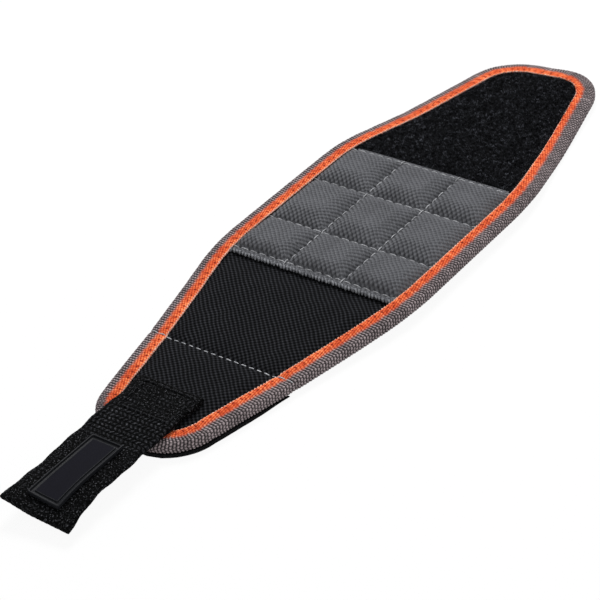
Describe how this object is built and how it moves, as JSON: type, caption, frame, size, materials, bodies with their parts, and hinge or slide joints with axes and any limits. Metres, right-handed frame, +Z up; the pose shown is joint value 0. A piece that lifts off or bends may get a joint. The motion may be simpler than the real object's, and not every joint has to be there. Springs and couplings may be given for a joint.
{
  "type": "magnetic wristband",
  "caption": "Padded cloth wristband with quilted magnet pockets that hold screws and bits, bound edges, a hook and loop closure and a webbing pull tab.",
  "frame": {"origin": "on the table under the middle of the whole outline, with the band laid open", "axes": "+X along the band from the pull tab to the pile tip, +Y across the band, +Z up out of the magnet pockets"},
  "size_m": [0.325, 0.0886, 0.0097],
  "materials": {
    "ballistic_cloth": "black ballistic weave",
    "pocket_cloth": "grey coarse ballistic weave, quilted",
    "loop_pile": "black loop pile",
    "binding_tape": "woven tape, orange stripe inside a grey edge",
    "mesh_lining": "dark spacer mesh",
    "foam": "grey foam padding",
    "hook_tape": "black hook tape",
    "webbing": "black herringbone webbing",
    "label_rubber": "matt black moulded rubber",
    "magnet_plating": "nickel plate"
  },
  "bodies": {
    "magnet_row_2": {"row_2_pocket_face": "pocket_cloth", "row_2_lining": "mesh_lining", "row_2_foam": "foam", "row_2_magnet_left": "magnet_plating", "row_2_magnet_middle": "magnet_plating", "row_2_magnet_right": "magnet_plating", "row_2_binding_left": "binding_tape", "row_2_binding_right": "binding_tape"},
    "magnet_row_1": {"row_1_pocket_face": "pocket_cloth", "row_1_lining": "mesh_lining", "row_1_foam": "foam", "row_1_magnet_left": "magnet_plating", "row_1_magnet_middle": "magnet_plating", "row_1_magnet_right": "magnet_plating", "row_1_binding_left": "binding_tape", "row_1_binding_right": "binding_tape"},
    "plain_inner": {"plain_inner_face": "ballistic_cloth", "plain_inner_lining": "mesh_lining", "plain_inner_foam": "foam", "plain_inner_binding_left": "binding_tape", "plain_inner_binding_right": "binding_tape"},
    "plain_outer": {"plain_outer_face": "ballistic_cloth", "plain_outer_lining": "mesh_lining", "plain_outer_foam": "foam", "plain_outer_binding_left": "binding_tape", "plain_outer_binding_right": "binding_tape"},
    "hook_end_inner": {"hook_end_inner_face": "ballistic_cloth", "hook_end_inner_lining": "mesh_lining", "hook_end_inner_binding_left": "binding_tape", "hook_end_inner_binding_right": "binding_tape", "hook_patch_inner": "hook_tape"},
    "hook_end_outer": {"hook_end_outer_face": "ballistic_cloth", "hook_end_outer_lining": "mesh_lining", "hook_end_outer_binding": "binding_tape", "hook_patch_outer": "hook_tape", "strap_root": "webbing"},
    "pull_tab": {"strap_tail": "webbing", "strap_label": "label_rubber"},
    "magnet_row_3": {"row_3_pocket_face": "pocket_cloth", "row_3_lining": "mesh_lining", "row_3_foam": "foam", "row_3_magnet_left": "magnet_plating", "row_3_magnet_middle": "magnet_plating", "row_3_magnet_right": "magnet_plating", "row_3_binding_left": "binding_tape", "row_3_binding_right": "binding_tape"},
    "pile_inner": {"pile_inner_face": "loop_pile", "pile_inner_lining": "mesh_lining", "pile_inner_binding_left": "binding_tape", "pile_inner_binding_right": "binding_tape"},
    "pile_middle": {"pile_middle_face": "loop_pile", "pile_middle_lining": "mesh_lining", "pile_middle_binding_left": "binding_tape", "pile_middle_binding_right": "binding_tape"},
    "pile_tip": {"pile_tip_face": "loop_pile", "pile_tip_lining": "mesh_lining", "pile_tip_binding": "binding_tape"}
  },
  "joints": [
    {"name": "hook_side_wrap", "type": "hinge", "parent": "magnet_row_2", "child": "magnet_row_1", "pos_m": [0.0141, 0, 0], "axis": [0, -1, 0], "range_deg": [-3, 38]},
    {"name": "panel_edge_flex", "type": "hinge", "parent": "magnet_row_1", "child": "plain_inner", "pos_m": [-0.0111, 0, 0], "axis": [0, -1, 0], "range_deg": [-3, 38]},
    {"name": "plain_panel_flex", "type": "hinge", "parent": "plain_inner", "child": "plain_outer", "pos_m": [-0.0375, 0, 0], "axis": [0, -1, 0], "range_deg": [-3, 38]},
    {"name": "cross_stitch_flex", "type": "hinge", "parent": "plain_outer", "child": "hook_end_inner", "pos_m": [-0.0645, 0, 0], "axis": [0, -1, 0], "range_deg": [-3, 38]},
    {"name": "strap_seam_flex", "type": "hinge", "parent": "hook_end_inner", "child": "hook_end_outer", "pos_m": [-0.089, 0, 0], "axis": [0, -1, 0], "range_deg": [-4.29, 54.34]},
    {"name": "pull_tab_bend", "type": "hinge", "parent": "hook_end_outer", "child": "pull_tab", "pos_m": [-0.11755, 0, 0.00735], "axis": [0, -1, 0], "range_deg": [-100, 30]},
    {"name": "pile_side_wrap", "type": "hinge", "parent": "magnet_row_2", "child": "magnet_row_3", "pos_m": [0.0436, 0, 0], "axis": [0, 1, 0], "range_deg": [-3, 51]},
    {"name": "pile_edge_flex", "type": "hinge", "parent": "magnet_row_3", "child": "pile_inner", "pos_m": [0.0697, 0, 0], "axis": [0, 1, 0], "range_deg": [-3, 51]},
    {"name": "pile_seam_flex", "type": "hinge", "parent": "pile_inner", "child": "pile_middle", "pos_m": [0.105, 0, 0], "axis": [0, 1, 0], "range_deg": [-3, 51]},
    {"name": "pile_tip_flex", "type": "hinge", "parent": "pile_middle", "child": "pile_tip", "pos_m": [0.1405, 0, 0], "axis": [0, 1, 0], "range_deg": [-3.19, 54.21]}
  ],
  "couplings": [
    {"joint": "panel_edge_flex", "follows": "hook_side_wrap", "ratio": 1},
    {"joint": "plain_panel_flex", "follows": "hook_side_wrap", "ratio": 1},
    {"joint": "cross_stitch_flex", "follows": "hook_side_wrap", "ratio": 1},
    {"joint": "strap_seam_flex", "follows": "hook_side_wrap", "ratio": 1.43},
    {"joint": "pile_edge_flex", "follows": "pile_side_wrap", "ratio": 1},
    {"joint": "pile_seam_flex", "follows": "pile_side_wrap", "ratio": 1},
    {"joint": "pile_tip_flex", "follows": "pile_side_wrap", "ratio": 1.063}
  ]
}
